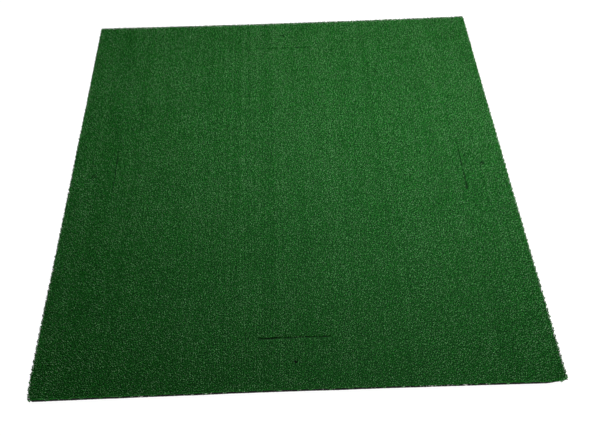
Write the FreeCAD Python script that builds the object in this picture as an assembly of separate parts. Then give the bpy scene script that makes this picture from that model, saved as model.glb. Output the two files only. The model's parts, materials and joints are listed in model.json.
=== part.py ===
# Golf hitting mat: a square of tufted turf bonded to a foam pad, with a tee station at the middle of each side.
# Millimetres, +Z up. The origin is the middle of the underside, and -Y is the side nearest the golfer.
import FreeCAD, Part
import os

from FreeCAD import Vector

INCH = 25.4

# Outline: the cut edges draw in a little between the corners, and the foam is cut just inside the turf.
# The draw at the middle of an edge is listed as front, right, back, left.
SIDE = 60 * INCH
EDGE_BOWS = (3.5, 1.2, 5.5, 1.2)
FOAM_INSET = 1.0

# Layers, from the floor up. The pile takes what the layers below it leave of the whole thickness.
MAT_THICKNESS = 1.25 * INCH
FOAM_THICKNESS = 0.625 * INCH
FILM_THICKNESS = 0.4
COAT_THICKNESS = 1.6
PRIMARY_THICKNESS = 0.7

# Tee stations: a rubber tee's base goes down through the slit and slides outwards in a pocket between the
# turf and the foam, until its tube comes up through the hole. The same station is cut in all four sides.
HOLE_RADIUS = 0.25 * INCH
HOLE_INSET = 3.125 * INCH
SLIT_INSET = SIDE / 10
SLIT_LENGTH = 8.5 * INCH
SLIT_OPENING = 1.5
STATION_ANGLES = (0, 90, 180, 270)

# Pockets, where no adhesive is laid, so that the tee's base can lie between the turf and the foam.
POCKET_OUTER_INSET = 1.5 * INCH
POCKET_INNER_INSET = SLIT_INSET + 0.5 * INCH
POCKET_LENGTH = SLIT_LENGTH + 0.5 * INCH
POCKET_CORNER_RADIUS = 1.0 * INCH


def outline(inset):
    """The mat's outline, set in by inset: four shallow arcs from corner to corner."""
    half = SIDE / 2 - inset
    corners = (Vector(-half, -half, 0), Vector(half, -half, 0), Vector(half, half, 0), Vector(-half, half, 0))
    middles = (Vector(0, -half, 0), Vector(half, 0, 0), Vector(0, half, 0), Vector(-half, 0, 0))
    arcs = []
    for index, middle in enumerate(middles):
        inward = middle * (1 - EDGE_BOWS[index] / half)
        arcs.append(Part.Arc(corners[index], inward, corners[(index + 1) % 4]).toShape())
    return Part.Wire(arcs)


def layer(inset, bottom, thickness):
    """A solid sheet of the mat's outline, from bottom up."""
    sheet = Part.Face(outline(inset)).extrude(Vector(0, 0, thickness))
    sheet.translate(Vector(0, 0, bottom))
    return sheet


def around_the_sides(tool):
    """The front station's tool, and its copies turned to the other three sides."""
    tools = []
    for angle in STATION_ANGLES:
        turned = tool.copy()
        turned.rotate(Vector(0, 0, 0), Vector(0, 0, 1), angle)
        tools.append(turned)
    return tools


def hole_tool():
    """The punch for the front tee hole, through the whole height of the mat."""
    return Part.makeCylinder(HOLE_RADIUS, MAT_THICKNESS, Vector(0, HOLE_INSET - SIDE / 2, 0))


def slit_tool():
    """The front slit: a knife cut whose lips stand a little apart at its middle and meet at its ends."""
    y = SLIT_INSET - SIDE / 2
    left = Vector(-SLIT_LENGTH / 2, y, 0)
    right = Vector(SLIT_LENGTH / 2, y, 0)
    near_lip = Part.Arc(left, Vector(0, y - SLIT_OPENING / 2, 0), right).toShape()
    far_lip = Part.Arc(right, Vector(0, y + SLIT_OPENING / 2, 0), left).toShape()
    return Part.Face(Part.Wire([near_lip, far_lip])).extrude(Vector(0, 0, MAT_THICKNESS))


def pocket_tool():
    """The front pocket, from under the slit to past the hole, with round corners."""
    depth = POCKET_INNER_INSET - POCKET_OUTER_INSET
    corner = Vector(-POCKET_LENGTH / 2, POCKET_OUTER_INSET - SIDE / 2, 0)
    block = Part.makeBox(POCKET_LENGTH, depth, MAT_THICKNESS, corner)
    upright = [edge for edge in block.Edges if abs(edge.tangentAt(edge.FirstParameter).z) > 0.5]
    return block.makeFillet(POCKET_CORNER_RADIUS, upright)


def foam_pad():
    """The closed-cell foam pad that lies on the floor. The tee stations don't cut it."""
    return layer(FOAM_INSET, 0, FOAM_THICKNESS)


def adhesive_film():
    """The adhesive between the foam and the turf, left out of the four pockets."""
    return layer(FOAM_INSET, FOAM_THICKNESS, FILM_THICKNESS).cut(around_the_sides(pocket_tool()))


def turf_layer(bottom, thickness):
    """One layer of the turf, with the four holes and slits cut through it."""
    cuts = around_the_sides(hole_tool()) + around_the_sides(slit_tool())
    return layer(0, bottom, thickness).cut(cuts)


def write(node, shape):
    """One closed solid to parts/NODE.step."""
    solid = shape.Solids[0]
    if len(shape.Solids) != 1 or not solid.isValid():
        raise ValueError(node + " is not one valid solid")
    solid.exportStep("parts/" + node + ".step")


os.makedirs("parts", exist_ok=True)

coat_bottom = FOAM_THICKNESS + FILM_THICKNESS
primary_bottom = coat_bottom + COAT_THICKNESS
pile_bottom = primary_bottom + PRIMARY_THICKNESS

write("foam_pad", foam_pad())
write("adhesive_film", adhesive_film())
write("backing_coat", turf_layer(coat_bottom, COAT_THICKNESS))
write("primary_backing", turf_layer(primary_bottom, PRIMARY_THICKNESS))
write("turf_pile", turf_layer(pile_bottom, MAT_THICKNESS - pile_bottom))
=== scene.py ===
"""A golf hitting mat: tufted nylon turf bonded to a foam pad, with a tee station on each side."""
import json
import math

import bpy
import numpy as np
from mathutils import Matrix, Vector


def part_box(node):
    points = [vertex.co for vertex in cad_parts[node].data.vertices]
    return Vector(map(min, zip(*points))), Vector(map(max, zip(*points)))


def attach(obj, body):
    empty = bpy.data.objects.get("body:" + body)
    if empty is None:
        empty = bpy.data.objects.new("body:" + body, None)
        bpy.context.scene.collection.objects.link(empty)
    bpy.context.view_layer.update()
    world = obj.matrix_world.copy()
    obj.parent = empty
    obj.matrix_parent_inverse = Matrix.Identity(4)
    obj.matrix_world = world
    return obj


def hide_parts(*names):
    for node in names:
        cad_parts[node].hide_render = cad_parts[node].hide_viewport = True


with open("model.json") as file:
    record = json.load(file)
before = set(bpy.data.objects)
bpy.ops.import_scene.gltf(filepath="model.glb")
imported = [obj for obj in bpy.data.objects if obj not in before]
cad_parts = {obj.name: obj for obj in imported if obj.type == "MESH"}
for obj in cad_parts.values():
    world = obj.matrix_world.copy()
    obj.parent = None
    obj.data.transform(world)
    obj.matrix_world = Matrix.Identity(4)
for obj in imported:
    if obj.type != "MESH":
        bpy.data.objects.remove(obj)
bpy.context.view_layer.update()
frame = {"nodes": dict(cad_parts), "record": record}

MM = 0.001

# A ripple's sine waves: how much shorter and how much lower each is than the one before, and what their sum
# is divided by to stay within about one of zero.
WAVE_SHORTENING = 1.7
WAVE_LOWERING = 0.72
WAVE_TOTAL = 2.5

# The mat's size and layers, as the CAD has them.
foam_low, foam_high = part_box("foam_pad")
coat_low, coat_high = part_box("backing_coat")
cloth_low, cloth_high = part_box("primary_backing")
pile_low, pile_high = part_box("turf_pile")
SIDE = pile_high.x - pile_low.x
HALF = SIDE / 2
FOAM_HALF = (foam_high.x - foam_low.x) / 2
PILE_BOTTOM = pile_low.z
PILE_TOP = pile_high.z
PILE_HEIGHT = PILE_TOP - PILE_BOTTOM

# How far the cut edges draw in at their middles, how far the knife wandered along them, and how sharply
# that wander dies away from the edge. Opposite edges take stretches of one ripple, EDGE_SHIFT metres to each
# side of its start.
EDGE_BOWS = {"front": 3.5 * MM, "right": 1.2 * MM, "back": 5.5 * MM, "left": 1.2 * MM}
KNIFE_WANDER = 0.6 * MM
WANDER_SHARPNESS = 12
EDGE_SHIFT = 9

# How far the outermost tufts stand out or in from the knife's line, the longest such wave along an edge, and
# how sharply this dies away from the edge.
TUFT_JAGS = {"front": 0.0, "right": 4.3 * MM, "back": 3.0 * MM, "left": 2.7 * MM}
JAG_LENGTH = 20 * MM
JAG_SHARPNESS = 60

# The worn front corners: how far the left one has drawn in from the left, and the right one from the front,
# how much further in the foam's corner is under the right one, and how sharply the wear grows to the corner.
LEFT_CORNER_WEAR = 7.0 * MM
RIGHT_CORNER_WEAR = 6.0 * MM
FOAM_CORNER_INSET = 8.0 * MM
CORNER_SHARPNESS = 40

# The foam's cut side: pairs of the height up it, as a share, and how far it stands in from the outline.
FOAM_PROFILE = (
    (0.0, 0.1 * MM),
    (0.05, -0.3 * MM),
    (0.16, -0.5 * MM),
    (0.34, -0.25 * MM),
    (0.5, -0.1 * MM),
    (0.68, -0.2 * MM),
    (0.86, -0.5 * MM),
    (0.95, -0.4 * MM),
    (1.0, 0.1 * MM),
)
FOAM_STEPS = 380

# Tee stations: holes as the record's mounts state them, and slits a tenth of the side in from the edge.
HOLES = [m for m in frame["record"]["mounts"] if m["kind"] == "bore"]
HOLE_RADIUS = HOLES[0]["dims"]["r_mm"] * MM
SLIT_INSET = SIDE / 10
SLIT_LENGTH = 8.5 * 25.4 * MM

# How wide each slit's lips stand apart: at its left or front end, its middle, and its right or back end.
SLIT_GAPS = {
    "front": (4.4 * MM, 1.9 * MM, 1.3 * MM),
    "right": (4.4 * MM, 1.6 * MM, 0.4 * MM),
    "back": (1.2 * MM, 2.2 * MM, 4.0 * MM),
    "left": (1.0 * MM, 1.9 * MM, 2.3 * MM),
}

# How ragged the lips are in the pile: how strongly the gap varies, its least and greatest share of the gap
# above, and each slit's seed. SLIT_CLOSING is the share of its half length over which a slit closes.
SLIT_RAGGEDNESS = 0.9
SLIT_SHARES = (0.1, 2.0)
SLIT_SEEDS = {"front": 1, "right": 2, "back": 3, "left": 4}
SLIT_CLOSING = 0.02

# How far the knife strayed from each slit's line, and the half gap between the two grid lines beside a slit,
# from which a sheet's lips are then moved to their places.
SLIT_WANDER = 0.8 * MM
LIP_LINE = 0.5 * MM

# The sheets' grids: how far apart their lines are in the cloth and coat and in the bed of yarn, and over the
# holes, and the share of a hole's radius within which points move onto its rim. In the bed of yarn, a slit's
# lips stand BED_LIP further out.
SHEET_STEP = 24 * MM
BED_STEP = 10 * MM
HOLE_STEP = HOLE_RADIUS / 4
RIM_SHARE = 0.13
BED_LIP = 1 * MM

# How tufts beside a slit move apart with its lips: the share of the half gap that one on the slit's line
# moves, and the distance over which that falls by one. Tufts within LIP_WIDTH of the line get painted shade,
# for the slit's shadow, and would fall from shade 1 to 0 at a half gap of LIP_PAINTED_SHADE_GAP.
SLIT_PUSH = 1.15
SLIT_PUSH_REACH = 8 * MM
LIP_WIDTH = 3.2 * MM
LIP_PAINTED_SHADE_GAP = 8 * MM

# Strands combed away from a slit: the greatest share of them, the half gap from which it is so great, how
# far beyond the lip they stand, how much of a lean and of a curl towards the slit turns into one away from
# it, and the share of the half gap by which they lean away besides.
COMBED_SHARE = 0.9
COMBED_GAP = 1.2 * MM
COMBED_REACH = 3 * MM
TURNED_LEAN = 0.8
TURNED_CURL = 0.5
COMBED_LEAN = 0.35

# How far the strands round each hole lean in over it, how far from its rim they stand at most, and the
# least distance of any strand's root from the rim.
HOLE_COVER = {"front": 2.0 * MM, "right": 3.0 * MM, "back": 0.6 * MM, "left": 2.8 * MM}
HOLE_SURROUND = 3 * MM
HOLE_MARGIN = 0.2 * MM

# The turf: rows of tufts that run from front to back, and how far its roots stay in at the front and back.
ROWS = 320
STITCHES = 320
STRANDS = 3
ROWS_PER_STRIP = 32
ROW_PITCH = SIDE / ROWS
STITCH_PITCH = SIDE / STITCHES
YARN_BED_HEIGHT = 0.4 * PILE_HEIGHT
YARN_BED_INSET = 1.5 * MM
BED_LUMPS = 0.9 * MM
ROOT_DEPTH = 1.5 * MM
PILE_INSET = 1.2 * MM

# A strand, in millimetres: how far it leans out from its root, how far its tip curls on from there, and its
# radius. TUFT_STRAY is how far a tuft stands off its place, across and along its row. TUFT_TURNS is how far
# each next row's and each next stitch's tuft is turned, in whole turns. A strand's lean scatters about its
# place in the tuft, and its curl turns from its lean by up to STRAND_TWIST either way, both in radians.
STRAND_LEAN = (0.9, 2.0)
STRAND_CURL = (0.3, 2.2)
STRAND_RADIUS = (0.75, 1.15)
TUFT_STRAY = (0.35, 0.7)
TUFT_TURNS = (0.61, 0.37)
LEAN_SCATTER = 0.5
STRAND_TWIST = 2.2

# The bloom, where a strand is thickest, as a share of its height.
BLOOM_HEIGHT = 0.72

# Where strands end, from the mat's full height up: their mean, the turf's slow swell, single strands'
# scatter, what a row's tone adds, and the most that a strand may have.
STRAND_TOP = -1.4 * MM
TURF_SWELL = 0.35 * MM
TOP_SCATTER = 0.6 * MM
ROW_RISE = 0.04 * MM
TOP_LIMIT = 1.2 * MM

# A row's tone: how much single rows differ, and pairs of how many rows a broad band has to each side of its
# middle and how much such bands differ. A row has one tone at the front and another at the back. It goes
# from one to the other along a circle, by its angle at the row's middle and by how much that grows to the
# row's back end, in radians.
ROW_DIFFERENCE = 0.8
ROW_BANDS = ((3, 0.4), (9, 0.18), (18, 0.2))
TONE_ANGLE = 0.3
TONE_TURN = 0.45

# A strand's shade, from 0, deep green, to 1, pale: its mean, and what its row, its patch of turf, its rank
# in its tuft and chance add to it.
MEAN_SHADE = 0.47
ROW_SHADE = 0.028
PATCH_SHADE = 0.02
TUFT_SHADE = 0.4
SHADE_SCATTER = 0.12

# The tufts along the cut edges, in rows from the tallest to the lowest. A row has how far its roots are in
# from the edge and above the pile's bottom, where it ends from the mat's full height, how far it leans and
# curls out, and its mean shade. FRINGE_LEAN and FRINGE_CURL are the least and greatest share of that lean
# and curl, FRINGE_STRAY is how far a tuft stands off its place, and FRINGE_SPLAY, in millimetres, is how far
# it leans and curls sideways.
FRINGE_PITCH = 2.2 * MM
FRINGE_LEAN = (0.1, 1.0)
FRINGE_CURL = (-0.5, 1.0)
FRINGE_STRAY = 0.6 * MM
FRINGE_SPLAY = (0.7, 0.9)
FRINGE_TOP_SCATTER = 0.8 * MM
FRINGE_RADIUS = (0.7, 1.1)
FRINGE_SHADE_SCATTER = 0.22
FRINGE_ROWS = (
    (2.6 * MM, 3.0 * MM, 0.2 * MM, 1.4 * MM, 0.8 * MM, 0.50),
    (1.2 * MM, 1.5 * MM, 0.2 * MM, 1.4 * MM, 0.6 * MM, 0.50),
    # The two lowest rows' low mean shades are painted shade, for the shade under the tall tufts.
    (1.2 * MM, 0.2 * MM, -3.5 * MM, 0.5 * MM, 0.4 * MM, 0.15),
    (1.0 * MM, 0.0 * MM, -7.5 * MM, 0.4 * MM, 0.5 * MM, 0.05),
)

# Locks of the fringe stray outwards where a ripple, of this longest wave, rises above LOCK_LEVEL: how far
# they do, how much paler they are, each side's share of both, and how much painted shade darkens each side,
# most on the left, away from the key lamp.
LOCK_LENGTH = 50 * MM
LOCK_LEVEL = 0.1
EDGE_STRAY = 5.0 * MM
STRAY_SHADE = 0.6
EDGE_TOUSLE = {"front": 1.0, "right": 0.3, "back": 0.3, "left": 0.3}
EDGE_PAINTED_SHADE = {"front": 0.0, "right": 0.1, "back": 0.3, "left": 0.4}

# Frayed yarn: the clumps along the front edge, by their distance from its middle, with so many strands each
# within about CLUMP_SPREAD, and the strands strewn thinly along each frayed side, up to a share of its half.
FRAYED_CLUMPS = (-0.44, -0.30, -0.255, 0.36, 0.42)
CLUMP_STRANDS = 7
CLUMP_SPREAD = 12 * MM
STREWN_STRANDS = 16
STREWN_SHARE = 0.97

# A frayed strand, in millimetres: how far it is rooted in from the edge, how far it leans and curls out, how
# far it does so sideways, how far it rises, and its radius. FRAYED_CELLS is the size of the grid of cells in
# their colour map, and the loose end has its last cell.
FRAYED_INSET = 1.0
FRAYED_LEAN = (1.5, 4.0)
FRAYED_CURL = (0.0, 1.5)
FRAYED_SPLAY = (1.5, 2.5)
FRAYED_RISE = (3.0, 12.0)
FRAYED_RADIUS = (0.8, 1.9)
FRAYED_CELLS = (61, 4)

# One pale end of yarn that lies along the front edge: its distance from the middle, its length and radius,
# how far in its root is, how far out from there its middle is and back in its tip, and how far its root and
# its tip are below the mat's full height.
LOOSE_END_PLACE = 0.472
LOOSE_END_LENGTH = 15 * MM
LOOSE_END_RADIUS = 2.0 * MM
LOOSE_END_INSET = 2.0 * MM
LOOSE_END_BEND = (4.0 * MM, 0.5 * MM)
LOOSE_END_DEPTHS = (6 * MM, 3 * MM)

# The stage. The floor glows, so that it comes out white under lamps that leave the turf its depth.
FLOOR_REACH = 12.0
FLOOR_GLOW = 0.97
SURROUND_RADIUS = 40.0
ROOM_LIGHT = 0.27

# The camera: its place, its turns about X, Y and Z in degrees, its lens in millimetres and its shift.
EYE_PLACE = (-0.0177, -1.1348, 1.6004)
EYE_TURNS = (30.773, 0.864, -1.818)
LENS = 33.0
SENSOR_WIDTH = 36
LENS_SHIFT = 0.022


# ---------------------------------------------------------------- shapes

def ripple(t, seed, waves=7, longest=0.6):
    """A smooth wandering line, within about one of zero: a few sine waves of falling length."""
    rng = np.random.default_rng(seed)
    total = np.zeros_like(t)
    for wave in range(waves):
        length = longest / WAVE_SHORTENING ** wave
        total += WAVE_LOWERING ** wave * np.sin(2 * np.pi * t / length + rng.uniform(0, 2 * np.pi))
    return total / WAVE_TOTAL


def directions(angle):
    """Unit pairs of x and y that point along angles."""
    return np.stack([np.cos(angle), np.sin(angle)], 1)


def wear_corners(x, y, u, v, inset=0.0):
    """Draws the worn front corners in, at points whose shares of the half side are u and v.

    inset draws the right one in further.
    """
    worn = np.where(v < 0, np.abs(u * v) ** CORNER_SHARPNESS, 0)
    moved_x = x + worn * ((u < 0) * LEFT_CORNER_WEAR - (u > 0) * inset)
    moved_y = y + worn * (u > 0) * (RIGHT_CORNER_WEAR + inset)
    return moved_x, moved_y


def draw_in(x, y, inset=0.0):
    """A true square's points moved to the mat's outline: bowed, with the knife's wander and worn corners."""
    u, v = x / HALF, y / HALF
    side_bow = np.where(u > 0, EDGE_BOWS["right"], EDGE_BOWS["left"])
    end_bow = np.where(v > 0, EDGE_BOWS["back"], EDGE_BOWS["front"])
    side = np.abs(u) ** WANDER_SHARPNESS * np.sign(u) * KNIFE_WANDER
    end = np.abs(v) ** WANDER_SHARPNESS * np.sign(v) * KNIFE_WANDER
    moved_x = x * (1 - side_bow / HALF * (1 - v ** 2)) + side * ripple(y + EDGE_SHIFT * np.sign(u), 3)
    moved_y = y * (1 - end_bow / HALF * (1 - u ** 2)) + end * ripple(x + EDGE_SHIFT * np.sign(v), 4)
    return wear_corners(moved_x, moved_y, u, v, inset)


def stray(x, y):
    """Tufts' places, with those at the sides and the back moved a little out or in from the knife's line."""
    u, v = x / HALF, y / HALF
    side = np.abs(u) ** JAG_SHARPNESS * np.where(u > 0, TUFT_JAGS["right"], TUFT_JAGS["left"])
    end = np.abs(v) ** JAG_SHARPNESS * np.where(v > 0, TUFT_JAGS["back"], TUFT_JAGS["front"])
    moved_x = x + side * np.sign(u) * ripple(y + EDGE_SHIFT * np.sign(u), 5, waves=3, longest=JAG_LENGTH)
    moved_y = y + end * np.sign(v) * ripple(x + EDGE_SHIFT * np.sign(v), 6, waves=3, longest=JAG_LENGTH)
    return moved_x, moved_y


def add_mesh(name, points, faces, material, attributes=(), uv=None, smooth=True):
    """An object from arrays of points and of triangles or quads. uv has a pair for each corner."""
    sides = faces.shape[1]
    mesh = bpy.data.meshes.new(name)
    mesh.vertices.add(len(points))
    mesh.vertices.foreach_set("co", np.ascontiguousarray(points, np.float32).ravel())
    mesh.loops.add(faces.size)
    mesh.loops.foreach_set("vertex_index", np.ascontiguousarray(faces, np.int32).ravel())
    mesh.polygons.add(len(faces))
    mesh.polygons.foreach_set("loop_start", np.arange(0, faces.size, sides, dtype=np.int32))
    mesh.polygons.foreach_set("use_smooth", np.full(len(faces), smooth))
    for label, values in attributes:
        layer = mesh.attributes.new(label, "FLOAT", "POINT")
        layer.data.foreach_set("value", np.ascontiguousarray(values, np.float32))
    if uv is not None:
        layer = mesh.uv_layers.new(name="OFBake")
        layer.data.foreach_set("uv", np.ascontiguousarray(uv, np.float32).ravel())
    mesh.update(calc_edges=True)
    mesh.materials.append(material)
    piece = bpy.data.objects.new(name, mesh)
    bpy.context.scene.collection.objects.link(piece)
    return piece


def stations():
    """Each tee station's name, the direction out to its edge, and the direction along its edge."""
    return (
        ("front", np.array((0.0, -1.0)), np.array((1.0, 0.0))),
        ("right", np.array((1.0, 0.0)), np.array((0.0, 1.0))),
        ("back", np.array((0.0, 1.0)), np.array((1.0, 0.0))),
        ("left", np.array((-1.0, 0.0)), np.array((0.0, 1.0))),
    )


def along_and_across(x, y, outward, sideways):
    """Places along a slit's line, from its middle, and their distance outwards from that line."""
    along = x * sideways[0] + y * sideways[1]
    across = x * outward[0] + y * outward[1] - (HALF - SLIT_INSET)
    return along, across


def slit_half_gap(name, along, raggedness=SLIT_RAGGEDNESS):
    """Half the gap between a slit's lips at a place along it. It closes over the last few millimetres."""
    first, middle, last = SLIT_GAPS[name]
    t = np.clip(2 * along / SLIT_LENGTH, -1, 1)
    gap = np.where(t < 0, middle + (first - middle) * t ** 2, middle + (last - middle) * t ** 2)
    ragged = np.clip(1 + raggedness * ripple(along, SLIT_SEEDS[name], longest=0.05), *SLIT_SHARES)
    close = np.clip((1 - np.abs(2 * along / SLIT_LENGTH)) / SLIT_CLOSING, 0, 1)
    return 0.5 * gap * ragged * np.sqrt(close)


def slit_wander(name, along):
    """How far the knife strayed from the slit's line."""
    return SLIT_WANDER * ripple(along, sum(map(ord, name)), waves=4, longest=0.25)


def hole_centres():
    """The middles of the tee holes, as pairs of x and y."""
    return np.array([m["pos_m"][:2] for m in HOLES])


def clear_of_holes(x, y, margin=0.0):
    """Which points lie outside every tee hole, by more than margin."""
    clear = np.ones(len(x), bool)
    for cx, cy in hole_centres():
        clear &= np.hypot(x - cx, y - cy) > HOLE_RADIUS + margin
    return clear


def grid_lines(step, fine):
    """Lines across the mat: a pair beside each slit, fine ones over each hole, and the rest a step apart.

    There is one at each edge, one just inside it and one at each end of a slit, and those a step apart leave
    out any that would come close to these.
    """
    slit = HALF - SLIT_INSET
    special = []
    for centre in (-slit, slit):
        special += [centre - LIP_LINE, centre + LIP_LINE]
    for centre in (-hole_centres()[:, 0].max(), 0.0, hole_centres()[:, 0].max()):
        special += list(centre + np.arange(-6, 7) * fine)
    for end in (-1, 1):
        special += [end * HALF, end * (HALF - 0.7 * fine), end * SLIT_LENGTH / 2]
    special = np.array(special)
    plain = np.linspace(-HALF, HALF, int(round(SIDE / step)) + 1)
    far = np.abs(plain[:, None] - special[None, :]).min(1) > 0.4 * step
    return np.unique(np.concatenate([plain[far], special]).round(7))


def cut_away(quads, x, y):
    """Quads of a grid on the points x and y, without those in the four holes and between the slits' lips."""
    middle_x, middle_y = x[quads].mean(1), y[quads].mean(1)
    keep = clear_of_holes(middle_x, middle_y)
    for name, outward, sideways in stations():
        along, across = along_and_across(middle_x, middle_y, outward, sideways)
        keep &= ~((np.abs(along) < SLIT_LENGTH / 2) & (np.abs(across) < 0.8 * LIP_LINE))
    return quads[keep]


def open_stations(x, y, spread):
    """A grid's points, with the rim of each hole moved onto its circle, and the lips of each slit apart."""
    for cx, cy in hole_centres():
        away = np.hypot(x - cx, y - cy)
        rim = np.abs(away - HOLE_RADIUS) < RIM_SHARE * HOLE_RADIUS
        scale = np.where(rim, HOLE_RADIUS / np.maximum(away, 1e-9), 1)
        x, y = cx + (x - cx) * scale, cy + (y - cy) * scale
    for name, outward, sideways in stations():
        along, across = along_and_across(x, y, outward, sideways)
        near = (np.abs(across) < 1.2 * LIP_LINE) & (np.abs(along) < SLIT_LENGTH / 2 - 1e-5)
        lip = np.sign(across) * (slit_half_gap(name, along, 0) + spread) + slit_wander(name, along)
        x += np.where(near, lip - across, 0) * outward[0]
        y += np.where(near, lip - across, 0) * outward[1]
    return x, y


def cut_sheet(step, bottom, top, half=HALF, bump=None, spread=0.0):
    """A closed sheet of the mat's outline with the four holes and slits cut through it: points and quads.

    bump gives the top's height above its level at a place, and spread moves each lip of a slit further out.
    """
    lines = grid_lines(step, HOLE_STEP)
    n = len(lines)
    x, y = (a.ravel() for a in np.meshgrid(lines, lines, indexing="ij"))
    index = np.arange(n * n).reshape(n, n)
    quads = np.stack([index[:-1, :-1], index[1:, :-1], index[1:, 1:], index[:-1, 1:]], -1).reshape(-1, 4)
    quads = cut_away(quads, x, y)
    x, y = draw_in(*open_stations(x, y, spread))
    x, y = x * half / HALF, y * half / HALF

    used = np.unique(quads)
    renumber = np.full(n * n, -1)
    renumber[used] = np.arange(len(used))
    quads, x, y = renumber[quads], x[used], y[used]
    count = len(used)
    upper = np.full(count, top) if bump is None else top + bump(x, y)
    points = np.concatenate([
        np.stack([x, y, np.full(count, bottom)], 1),
        np.stack([x, y, upper], 1),
    ])
    return points, np.concatenate([quads[:, ::-1], quads + count, walls(quads, count)])


def walls(quads, count):
    """Quads that join a lower layer's free edges to the same edges of the layer count points above it."""
    edges = np.concatenate([quads[:, [i, (i + 1) % 4]] for i in range(4)])
    key = edges[:, 0].astype(np.int64) * (count + 1) + edges[:, 1]
    back = edges[:, 1].astype(np.int64) * (count + 1) + edges[:, 0]
    free = edges[~np.isin(key, back)]
    return np.stack([free[:, 0], free[:, 1], free[:, 1] + count, free[:, 0] + count], 1)


# ---------------------------------------------------------------- materials

def new_material(name, color, roughness, specular=0.5):
    """A material's Principled shader, with what is the same all over set on its own sockets."""
    material = bpy.data.materials.new(name)
    material.use_nodes = True
    shader = material.node_tree.nodes["Principled BSDF"]
    shader.inputs["Base Color"].default_value = (*color, 1)
    shader.inputs["Roughness"].default_value = roughness
    shader.inputs["Specular IOR Level"].default_value = specular
    return material, shader


class Nodes:
    """Short ways to add nodes to a material."""

    def __init__(self, material):
        self.tree = material.node_tree

    def add(self, kind, **settings):
        node = self.tree.nodes.new(kind)
        for name, value in settings.items():
            setattr(node, name, value)
        return node

    def link(self, source, target):
        self.tree.links.new(source, target)

    def place(self):
        """The point's place in the mat's own frame, in metres."""
        return self.add("ShaderNodeTexCoord").outputs["Object"]

    def noise(self, scale, detail=2.0, place=None):
        """Noise at the point's place, or at another."""
        node = self.add("ShaderNodeTexNoise")
        node.inputs["Scale"].default_value = scale
        node.inputs["Detail"].default_value = detail
        self.link(place or self.place(), node.inputs["Vector"])
        return node.outputs["Fac"]

    def scaled_place(self, scale):
        """The point's place, stretched along each axis."""
        node = self.add("ShaderNodeMapping")
        node.inputs["Scale"].default_value = scale
        self.link(self.place(), node.inputs["Vector"])
        return node.outputs["Vector"]

    def attribute(self, name):
        """A strand's own value, stored on its points."""
        return self.add("ShaderNodeAttribute", attribute_name=name).outputs["Fac"]

    def math(self, operation, a, b):
        node = self.add("ShaderNodeMath", operation=operation)
        for socket, value in zip(node.inputs, (a, b)):
            if isinstance(value, (int, float)):
                socket.default_value = value
            else:
                self.link(value, socket)
        return node.outputs["Value"]

    def ramp(self, source, stops):
        """A colour for a value, from pairs of value and colour."""
        node = self.add("ShaderNodeValToRGB")
        while len(node.color_ramp.elements) < len(stops):
            node.color_ramp.elements.new(0.5)
        for element, (position, color) in zip(node.color_ramp.elements, stops):
            element.position = position
            element.color = (*color, 1)
        self.link(source, node.inputs["Fac"])
        return node.outputs["Color"]

    def multiply(self, a, b):
        """The product of two colours."""
        node = self.add("ShaderNodeMix", data_type="RGBA", blend_type="MULTIPLY")
        node.inputs["Factor"].default_value = 1.0
        self.link(a, node.inputs["A"])
        self.link(b, node.inputs["B"])
        return [socket for socket in node.outputs if socket.type == "RGBA"][0]

    def bump(self, height, strength, distance, shader):
        """Fine relief on the shader's surface."""
        node = self.add("ShaderNodeBump")
        node.inputs["Strength"].default_value = strength
        node.inputs["Distance"].default_value = distance
        self.link(height, node.inputs["Height"])
        self.link(node.outputs["Normal"], shader.inputs["Normal"])


def yarn_material():
    """Nylon yarn: each strand its own green, from its shade, with painted shade that darkens it down towards
    its root.
    """
    material, shader = new_material("turf_yarn", (0.02, 0.1, 0.02), 0.6, 0.03)
    n = Nodes(material)
    strand = n.ramp(n.attribute("shade"), [
        (0.0, (0.0005, 0.042, 0.0015)),
        (0.3, (0.0015, 0.135, 0.004)),
        (0.62, (0.018, 0.285, 0.024)),
        (0.85, (0.092, 0.415, 0.098)),
        (1.0, (0.300, 0.600, 0.285)),
    ])
    # Painted shade: each strand darkens towards its root, for the shade deep in the pile.
    depth = n.ramp(n.attribute("rise"), [
        (0.0, (0.10, 0.14, 0.12)),
        (0.55, (0.42, 0.50, 0.45)),
        (0.85, (0.90, 0.92, 0.90)),
        (1.0, (1.0, 1.0, 1.0)),
    ])
    worn = n.ramp(n.noise(14.0, 3.0), [(0.35, (0.93, 0.97, 0.9)), (0.65, (1.0, 1.0, 1.0))])
    n.link(n.multiply(n.multiply(strand, depth), worn), shader.inputs["Base Color"])
    return material


def yarn_bed_material():
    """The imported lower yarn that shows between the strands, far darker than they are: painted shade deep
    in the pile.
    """
    material, shader = new_material("yarn_bed", (0.006, 0.03, 0.008), 0.9, 0.1)
    n = Nodes(material)
    # Painted shade: these very dark greens stand in for the shade at the bottom of the pile.
    colour = n.ramp(n.noise(420.0, 3.0), [(0.3, (0.003, 0.016, 0.005)), (0.7, (0.012, 0.06, 0.014))])
    n.link(colour, shader.inputs["Base Color"])
    n.bump(n.noise(900.0, 2.0), 0.8, 0.8 * MM, shader)
    return material


def cloth_material():
    """Woven polypropylene tape, black, each tape a little different."""
    material, shader = new_material("woven_tape", (0.008, 0.009, 0.008), 0.8, 0.1)
    n = Nodes(material)
    warp = n.noise(1.0, 1.0, n.scaled_place((700.0, 12.0, 12.0)))
    weft = n.noise(1.0, 1.0, n.scaled_place((12.0, 700.0, 12.0)))
    weave = n.math("MULTIPLY", warp, weft)
    colour = n.ramp(weave, [(0.1, (0.003, 0.0035, 0.003)), (0.4, (0.014, 0.016, 0.014))])
    n.link(colour, shader.inputs["Base Color"])
    n.bump(n.math("ADD", warp, weft), 0.6, 0.3 * MM, shader)
    return material


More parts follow.
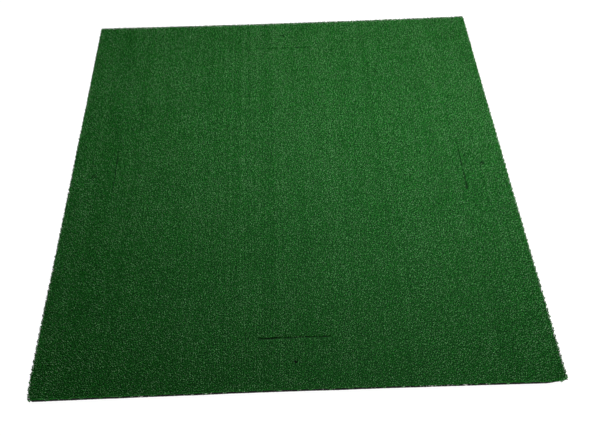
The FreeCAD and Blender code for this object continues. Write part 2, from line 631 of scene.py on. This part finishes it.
def frayed_material():
    """Frayed ends, whiter where they are bruised."""
    material, shader = new_material("frayed_yarn", (0.5, 0.5, 0.42), 0.7, 0.3)
    n = Nodes(material)
    colour = n.ramp(n.attribute("shade"), [(0.1, (0.16, 0.30, 0.14)), (0.6, (0.8, 0.82, 0.74))])
    n.link(colour, shader.inputs["Base Color"])
    return material


def coat_material():
    """The rubbery coat that locks the tufts, near black with a chalky filler."""
    material, shader = new_material("latex_coat", (0.008, 0.0085, 0.008), 0.9, 0.1)
    n = Nodes(material)
    colour = n.ramp(n.noise(260.0, 4.0), [(0.35, (0.004, 0.0045, 0.004)), (0.7, (0.014, 0.015, 0.014))])
    n.link(colour, shader.inputs["Base Color"])
    n.bump(n.noise(700.0, 3.0), 0.5, 0.4 * MM, shader)
    return material


def foam_material():
    """Black closed-cell foam: fine cells, cut open along the edges, and a little dust."""
    material, shader = new_material("foam_rubber", (0.008, 0.008, 0.009), 0.9, 0.1)
    n = Nodes(material)
    cells = n.add("ShaderNodeTexVoronoi")
    cells.inputs["Scale"].default_value = 900.0
    n.link(n.place(), cells.inputs["Vector"])
    dust = n.noise(9.0, 4.0)
    tone = n.math("ADD", n.math("MULTIPLY", cells.outputs["Distance"], 0.5), n.math("MULTIPLY", dust, 0.6))
    colour = n.ramp(tone, [(0.3, (0.004, 0.004, 0.0045)), (0.8, (0.016, 0.016, 0.017))])
    n.link(colour, shader.inputs["Base Color"])
    n.bump(cells.outputs["Distance"], 0.7, 0.5 * MM, shader)
    return material


def adhesive_material():
    """Dried contact adhesive with brush streaks."""
    material, shader = new_material("dried_adhesive", (0.015, 0.014, 0.012), 0.6, 0.3)
    n = Nodes(material)
    streaks = n.noise(1.0, 3.0, n.scaled_place((30.0, 300.0, 30.0)))
    colour = n.ramp(streaks, [(0.3, (0.01, 0.0095, 0.008)), (0.7, (0.026, 0.025, 0.02))])
    n.link(colour, shader.inputs["Base Color"])
    n.bump(streaks, 0.4, 0.3 * MM, shader)
    return material


# ---------------------------------------------------------------- layers under the pile

def foam_outline():
    """The foam's outline: points around it from the front left corner, FOAM_STEPS to a side."""
    t = np.linspace(-FOAM_HALF, FOAM_HALF, FOAM_STEPS + 1)[:-1]
    flat = np.full(FOAM_STEPS, FOAM_HALF)
    x = np.concatenate([t, flat, -t, -flat])
    y = np.concatenate([-flat, t, flat, -t])
    x, y = draw_in(x * HALF / FOAM_HALF, y * HALF / FOAM_HALF, FOAM_CORNER_INSET)
    return x * FOAM_HALF / HALF, y * FOAM_HALF / HALF


def foam_pad():
    """The foam pad: flat on the floor, its cut sides a little hollow and uneven, its edges just rounded."""
    x, y = foam_outline()
    ring = len(x)
    low, high = foam_low.z, foam_high.z
    around = np.arange(ring) * SIDE / FOAM_STEPS
    rows = []
    for level, (share, inset) in enumerate(FOAM_PROFILE):
        # The knife's chatter: two fine waves along the cut, in millimetres, which shift from level to level.
        rough = 0.18 * np.sin(around * 911 + level * 2.1) + 0.14 * np.sin(around * 2003 + level * 3.7)
        shrink = 1 - (inset + rough * MM) / HALF
        rows.append(np.stack([x * shrink, y * shrink, np.full(ring, low + share * (high - low))], 1))
    middle = len(rows) * ring
    points = np.concatenate(rows + [[(0, 0, low), (0, 0, high)]])

    last = middle - ring
    here, following = np.arange(ring), (np.arange(ring) + 1) % ring
    quads = []
    for below in range(0, last, ring):
        above = below + ring
        quads.append(np.stack([below + here, below + following, above + following, above + here], 1))
    # Bottom and top are each closed by a fan of kites round a point in the middle.
    fan = np.stack([here, following, (here + 2) % ring], 1)[::2]
    quads.append(np.insert(fan[:, ::-1], 0, middle, 1))
    quads.append(np.insert(fan + last, 0, middle + 1, 1))
    return add_mesh("foam_slab", points, np.concatenate(quads), foam_material())


def adhesive_film():
    """The CAD's film with its four pockets, drawn in at the worn corners."""
    solid = frame["nodes"]["adhesive_film"].data
    solid.calc_loop_triangles()
    points = np.empty((len(solid.vertices), 3), np.float32)
    solid.vertices.foreach_get("co", points.ravel())
    faces = np.empty((len(solid.loop_triangles), 3), np.int32)
    solid.loop_triangles.foreach_get("vertices", faces.ravel())
    x, y = points[:, 0], points[:, 1]
    x, y = wear_corners(x, y, x / FOAM_HALF, y / FOAM_HALF, FOAM_CORNER_INSET)
    points = np.column_stack([x, y, points[:, 2]])
    return add_mesh("glue_film", points, faces, adhesive_material(), smooth=False)


def bed_lumps(x, y):
    """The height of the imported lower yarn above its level."""
    return BED_LUMPS * (np.sin(x * 1310 + 2 * np.sin(y * 410)) + np.sin(y * 1170 + 2 * np.sin(x * 530))) / 2


def sandwich():
    """Foam pad, glue, coat, woven cloth and yarn bed, each in place of its CAD layer."""
    foam = foam_pad()
    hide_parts("foam_pad")

    points, quads = cut_sheet(SHEET_STEP, coat_low.z, coat_high.z)
    coat = add_mesh("latex_backing", points, quads, coat_material())
    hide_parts("backing_coat")

    points, quads = cut_sheet(SHEET_STEP, cloth_low.z, cloth_high.z)
    cloth = add_mesh("woven_cloth", points, quads, cloth_material())
    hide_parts("primary_backing")

    bed_top = PILE_BOTTOM + YARN_BED_HEIGHT
    points, quads = cut_sheet(BED_STEP, PILE_BOTTOM, bed_top, HALF - YARN_BED_INSET, bed_lumps, BED_LIP)
    bed = add_mesh("yarn_bed", points, quads, yarn_bed_material())

    film = adhesive_film()
    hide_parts("adhesive_film")

    for piece in (foam, film, coat, cloth, bed):
        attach(piece, "root")
    return cloth, bed


# ---------------------------------------------------------------- pile

def strand_mesh(name, root, base, top, lean, curl, radius, shade, cell, cells, material):
    """Strands as closed spindles: a sharp root down in the bed, a thick bloom near the top and a bent tip.

    root, lean and curl are pairs of x and y; base and top are heights. cell is each strand's place in the
    piece's grid of cells, which gives it a patch of its own in the colour map.
    """
    n = len(root)
    bloom = root + lean
    # The shade also turns a strand about its own axis, as it differs at random from strand to strand.
    turn = shade * 20
    points = np.zeros((n, 5, 3))
    points[:, 0] = np.column_stack([root, base])
    for corner in range(3):
        angle = turn + corner * 2 * np.pi / 3
        points[:, 1 + corner, 0] = bloom[:, 0] + radius * np.cos(angle)
        points[:, 1 + corner, 1] = bloom[:, 1] + radius * np.sin(angle)
        points[:, 1 + corner, 2] = base + (top - base) * BLOOM_HEIGHT
    points[:, 4] = np.column_stack([bloom + curl, top])
    first = np.arange(n)[:, None] * 5
    around = [(0, 2, 1), (0, 3, 2), (0, 1, 3), (4, 1, 2), (4, 2, 3), (4, 3, 1)]
    faces = np.concatenate([first + np.array([f]) for f in around], 1).reshape(-1, 3)
    rise = np.tile((0.0, BLOOM_HEIGHT, BLOOM_HEIGHT, BLOOM_HEIGHT, 1.0), n)
    # Where a strand's root, bloom and tip lie in its cell.
    corner_u = np.array((0.5, 0.15, 0.5, 0.85, 0.5))
    corner_v = np.array((0.1, 0.6, 0.7, 0.6, 0.9))
    u = (cell[:, 0:1] + corner_u) / cells[0]
    v = (cell[:, 1:2] + corner_v) / cells[1]
    uv = np.stack([u, v], -1).reshape(-1, 2)[faces.ravel()]
    attributes = [("shade", np.repeat(shade, 5)), ("rise", rise)]
    return add_mesh(name, points.reshape(-1, 3), faces, material, attributes, uv)


def row_tones(seed):
    """Each tufting row's tone, about zero: single rows differ, and so do broad bands of them."""
    rng = np.random.default_rng(seed)
    tone = ROW_DIFFERENCE * rng.standard_normal(ROWS)
    spare = 100
    for width, weight in ROW_BANDS:
        kernel = np.hanning(width * 2 + 3)
        kernel /= np.sqrt((kernel ** 2).sum())
        smooth = np.convolve(rng.standard_normal(ROWS + 2 * spare), kernel, "same")
        tone += weight * smooth[spare:-spare]
    return tone


def part_at_slits(x, y, shade):
    """Moves the tufts beside each slit apart with its lips, and paints the slit's shadow on those on the
    lips.
    """
    for name, outward, sideways in stations():
        along, across = along_and_across(x, y, outward, sideways)
        gap = slit_half_gap(name, along)
        across = across - slit_wander(name, along)
        push = np.sign(across) * gap * np.clip(SLIT_PUSH - np.abs(across) / SLIT_PUSH_REACH, 0, 1)
        x += push * outward[0]
        y += push * outward[1]
        # Painted shade: tufts on the lips are darkened for the shadow in the slit.
        shade -= np.where(np.abs(across) < LIP_WIDTH, gap / LIP_PAINTED_SHADE_GAP, 0)


def comb(root, lean, curl, rng):
    """Most strands beside an open slit lean away from it, and strands round a hole lean in over it."""
    x, y = root.T
    draw = rng.random(len(x))
    for name, outward, sideways in stations():
        along, across = along_and_across(x, y, outward, sideways)
        across = across - slit_wander(name, along)
        gap = slit_half_gap(name, along)
        combed = draw < COMBED_SHARE * np.clip(gap / COMBED_GAP, 0, 1)
        beside = (np.abs(across) < gap + COMBED_REACH) & combed
        away = np.sign(across)[:, None] * outward
        for part, turned in ((lean, TURNED_LEAN), (curl, TURNED_CURL)):
            towards = np.minimum((part * away).sum(1), 0) * beside
            part -= (1 + turned) * towards[:, None] * away
        lean += (COMBED_LEAN * gap * beside)[:, None] * away
    for centre in hole_centres():
        side = max(stations(), key=lambda station: np.dot(station[1], centre))[0]
        inward = centre - root
        reach = np.hypot(*inward.T)
        rim = np.clip(1 - (reach - HOLE_RADIUS) / HOLE_SURROUND, 0, 1)
        lean += inward / np.maximum(reach, MM)[:, None] * rim[:, None] * HOLE_COVER[side]
    return lean, curl


def strip(start, front_tones, back_tones, rng, material):
    """The tufts of ROWS_PER_STRIP rows, from row start on, as one piece."""
    row, stitch, strand = (a.ravel() for a in np.meshgrid(
        np.arange(start, start + ROWS_PER_STRIP), np.arange(STITCHES), np.arange(STRANDS), indexing="ij"))
    n = len(row)
    x = -HALF + (row + 0.5) * ROW_PITCH
    y = -HALF + (stitch + 0.5 + 0.5 * (row % 2)) * STITCH_PITCH
    x += rng.normal(0, TUFT_STRAY[0] * MM, n)
    y += rng.normal(0, TUFT_STRAY[1] * MM, n)
    turns = strand / STRANDS + TUFT_TURNS[1] * stitch + TUFT_TURNS[0] * row
    angle = 2 * np.pi * turns + rng.normal(0, LEAN_SCATTER, n)
    reach = rng.uniform(*STRAND_LEAN, n) * MM
    lean = directions(angle) * reach[:, None]
    twist = angle + rng.uniform(-STRAND_TWIST, STRAND_TWIST, n)
    hook = rng.uniform(*STRAND_CURL, n) * MM
    curl = directions(twist) * hook[:, None]

    blend = TONE_TURN * y / HALF + TONE_ANGLE
    tone = front_tones[row] * np.cos(blend) + back_tones[row] * np.sin(blend)
    swell = TURF_SWELL * ripple(x * 1.3 + y * 0.4, 21) + TURF_SWELL * ripple(y * 1.1 - x * 0.5, 22)
    top = PILE_TOP + STRAND_TOP + swell + rng.normal(0, TOP_SCATTER, n) + ROW_RISE * tone
    top = np.minimum(top, PILE_TOP + TOP_LIMIT)
    base = np.full(n, PILE_BOTTOM + YARN_BED_HEIGHT - ROOT_DEPTH)
    radius = rng.uniform(*STRAND_RADIUS, n) * MM
    patch = ripple(x + 0.3 * y, 31, 8) + ripple(y - 0.3 * x, 32, 8)
    order = rng.random((n // STRANDS, STRANDS)).argsort(1).ravel()
    shade = MEAN_SHADE + ROW_SHADE * tone + PATCH_SHADE * patch + TUFT_SHADE * (order - 1)
    shade += rng.normal(0, SHADE_SCATTER, n)

    x, y = stray(*draw_in(x, np.clip(y, -HALF + PILE_INSET, HALF - PILE_INSET)))
    keep = clear_of_holes(x, y, HOLE_MARGIN)
    part_at_slits(x, y, shade)
    root = np.stack([x, y], 1)
    lean, curl = comb(root, lean, curl, rng)
    cell = np.stack([(row - start) * STRANDS + strand, stitch], 1)
    chosen = [a[keep] for a in (root, base, top, lean, curl, radius, np.clip(shade, 0, 1), cell)]
    name = f"turf_strip_{start // ROWS_PER_STRIP + 1:02d}"
    return strand_mesh(name, *chosen, (ROWS_PER_STRIP * STRANDS, STITCHES), material)


def pile(material):
    """The tufts, in strips of rows that run from front to back."""
    rng = np.random.default_rng(5)
    front_tones, back_tones = row_tones(11), row_tones(12)
    return [strip(start, front_tones, back_tones, rng, material) for start in range(0, ROWS, ROWS_PER_STRIP)]


def edge_fringe(material):
    """Tufts along the cut edges: tall ones, and lower ones that stand against their feet, darkened with
    painted shade.
    """
    rng = np.random.default_rng(9)
    count = int(SIDE / FRINGE_PITCH)
    t = (np.arange(count) + 0.5) * FRINGE_PITCH - HALF
    rows = []
    for number, (name, outward, sideways) in enumerate(stations()):
        for level, (inset, low, high, out, droop, mean) in enumerate(FRINGE_ROWS):
            along = t + rng.normal(0, FRINGE_STRAY, count)
            x, y = stray(*draw_in(*(outward * (HALF - inset) + sideways * along[:, None]).T))
            lean = outward * rng.uniform(*FRINGE_LEAN, (count, 1)) * out
            lean = lean + sideways * rng.normal(0, FRINGE_SPLAY[0], (count, 1)) * MM
            locks = ripple(along, 60 + number, waves=6, longest=LOCK_LENGTH)
            tousle = EDGE_TOUSLE[name] * np.clip(locks - LOCK_LEVEL, 0, None)
            lean = lean + outward * tousle[:, None] * EDGE_STRAY
            curl = outward * rng.uniform(*FRINGE_CURL, (count, 1)) * droop
            curl = curl + sideways * rng.normal(0, FRINGE_SPLAY[1], (count, 1)) * MM
            base = np.full(count, PILE_BOTTOM + low)
            top = PILE_TOP + high + rng.normal(0, FRINGE_TOP_SCATTER, count) - EDGE_STRAY * tousle
            radius = rng.uniform(*FRINGE_RADIUS, count) * MM
            scatter = rng.normal(0, FRINGE_SHADE_SCATTER, count)
            # Painted shade: each side's fringe is darkened by its share in EDGE_PAINTED_SHADE.
            shade = mean + scatter + STRAY_SHADE * tousle - EDGE_PAINTED_SHADE[name]
            cell = np.stack([np.arange(count), np.full(count, number * len(FRINGE_ROWS) + level)], 1)
            rows.append((np.stack([x, y], 1), base, top, lean, curl, radius, np.clip(shade, 0, 1), cell))
    joined = [np.concatenate(arrays) for arrays in zip(*rows)]
    cells = (count, len(stations()) * len(FRINGE_ROWS))
    return strand_mesh("turf_edge", *joined, cells, material)


def loose_end(cell):
    """One pale end of yarn that lies along the front edge, as a strand_mesh strand."""
    root = np.array([[LOOSE_END_PLACE - 0.5 * LOOSE_END_LENGTH, LOOSE_END_INSET - HALF]])
    lean = np.array([[0.5 * LOOSE_END_LENGTH, -LOOSE_END_BEND[0]]])
    curl = np.array([[0.5 * LOOSE_END_LENGTH, LOOSE_END_BEND[1]]])
    base = np.array([PILE_TOP - LOOSE_END_DEPTHS[0]])
    top = np.array([PILE_TOP - LOOSE_END_DEPTHS[1]])
    return root, base, top, lean, curl, np.array([LOOSE_END_RADIUS]), np.array([1.0]), np.array([cell])


def frayed_ends():
    """Pale, bruised yarn and tape pulled out of the cut edge: clumps along the front, few on the right."""
    rng = np.random.default_rng(14)
    parts = []
    for number, (name, outward, sideways) in enumerate(stations()[:2]):
        along = rng.uniform(-STREWN_SHARE, STREWN_SHARE, STREWN_STRANDS) * HALF
        if name == "front":
            clumps = np.repeat(FRAYED_CLUMPS, CLUMP_STRANDS)
            along = np.concatenate([clumps + rng.normal(0, CLUMP_SPREAD, len(clumps)), along])
        count = len(along)
        x, y = draw_in(*(outward * (HALF - FRAYED_INSET * MM) + sideways * along[:, None]).T)
        lean = outward * rng.uniform(*FRAYED_LEAN, (count, 1)) * MM
        lean = lean + sideways * rng.normal(0, FRAYED_SPLAY[0], (count, 1)) * MM
        curl = outward * rng.uniform(*FRAYED_CURL, (count, 1)) * MM
        curl = curl + sideways * rng.normal(0, FRAYED_SPLAY[1], (count, 1)) * MM
        base = np.full(count, (cloth_low.z + cloth_high.z) / 2)
        top = base + rng.uniform(*FRAYED_RISE, count) * MM
        radius = rng.uniform(*FRAYED_RADIUS, count) * MM
        cell = np.stack([np.arange(count), np.full(count, number)], 1)
        parts.append((np.stack([x, y], 1), base, top, lean, curl, radius, rng.random(count), cell))
    parts.append(loose_end((FRAYED_CELLS[0] - 1, FRAYED_CELLS[1] - 1)))
    joined = [np.concatenate(arrays) for arrays in zip(*parts)]
    return strand_mesh("frayed_ends", *joined, FRAYED_CELLS, frayed_material())


# ---------------------------------------------------------------- stage

def area_light(name, place, target, size, power):
    """A round soft lamp at place, turned towards target."""
    data = bpy.data.lights.new(name, "AREA")
    data.shape = "DISK"
    data.size = size
    data.energy = power
    light = bpy.data.objects.new(name, data)
    light.location = place
    light.visible_camera = False
    direction = np.array(target) - np.array(place)
    horizontal = math.hypot(direction[0], direction[1])
    tilt = math.atan2(horizontal, -direction[2])
    turn = math.atan2(-direction[0], direction[1])
    light.rotation_euler = (tilt, 0, turn)
    bpy.context.scene.collection.objects.link(light)


def glowing(name, color, roughness, specular, glow):
    """A plain material that also gives off white light of its own."""
    material, shader = new_material(name, color, roughness, specular)
    shader.inputs["Emission Color"].default_value = (1, 1, 1, 1)
    shader.inputs["Emission Strength"].default_value = glow
    return material


def backdrop():
    """A white surround, a ball far outside the floor, that the camera sees and that lights nothing."""
    around, up, pole = 48, 24, 0.02
    turn, tilt = np.meshgrid(np.arange(around) * 2 * np.pi / around, np.linspace(pole, np.pi - pole, up))
    ball = np.stack([np.cos(turn) * np.sin(tilt), np.sin(turn) * np.sin(tilt), np.cos(tilt)], -1)
    points = ball.reshape(-1, 3) * SURROUND_RADIUS
    ring, place = np.meshgrid(np.arange(up - 1) * around, np.arange(around), indexing="ij")
    following = (place + 1) % around
    quads = np.stack([ring + place, ring + following, ring + around + following, ring + around + place], -1)
    white = glowing("white_surround", (0.8, 0.8, 0.8), 1.0, 0.0, 1.0)
    surround = add_mesh("surround", points, quads.reshape(-1, 4), white)
    surround.visible_diffuse = False
    surround.visible_glossy = False
    surround.visible_shadow = False
    return surround


def studio():
    """A plain pale floor, a white surround, the room's light, and lamps over the right and the back left."""
    corners = np.array([(-1, -1, 0), (1, -1, 0), (1, 1, 0), (-1, 1, 0)]) * FLOOR_REACH
    paper = glowing("pale_floor", (0.15, 0.15, 0.15), 0.9, 0.1, FLOOR_GLOW)
    add_mesh("floor", corners, np.array([[0, 1, 2, 3]]), paper)
    backdrop()
    world = bpy.data.worlds.new("pale_room")
    world.use_nodes = True
    background = world.node_tree.nodes["Background"]
    background.inputs["Color"].default_value = (1, 1, 1, 1)
    background.inputs["Strength"].default_value = ROOM_LIGHT
    bpy.context.scene.world = world
    bpy.context.scene.view_settings.view_transform = "Standard"
    area_light("key", (0.6, 0.0, 1.0), (0.5, 0.0, 0.0), 1.4, 25.0)
    area_light("fill", (-0.3, 0.3, 1.2), (-0.3, 0.3, 0.0), 1.2, 9.6)


def camera():
    """The view of someone who stands at the front edge, a little back from it, and looks down."""
    data = bpy.data.cameras.new("camera")
    data.sensor_width = SENSOR_WIDTH
    data.lens = LENS
    data.shift_x = LENS_SHIFT
    data.clip_end = 100
    eye = bpy.data.objects.new("camera", data)
    eye.location = EYE_PLACE
    eye.rotation_euler = tuple(math.radians(turn) for turn in EYE_TURNS)
    bpy.context.scene.collection.objects.link(eye)
    bpy.context.scene.camera = eye


camera()
cloth, bed = sandwich()
yarn = yarn_material()
tufts = pile(yarn) + [edge_fringe(yarn)]
for piece in tufts:
    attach(piece, "root")
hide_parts("turf_pile")
frayed = frayed_ends()
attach(frayed, "root")
studio()
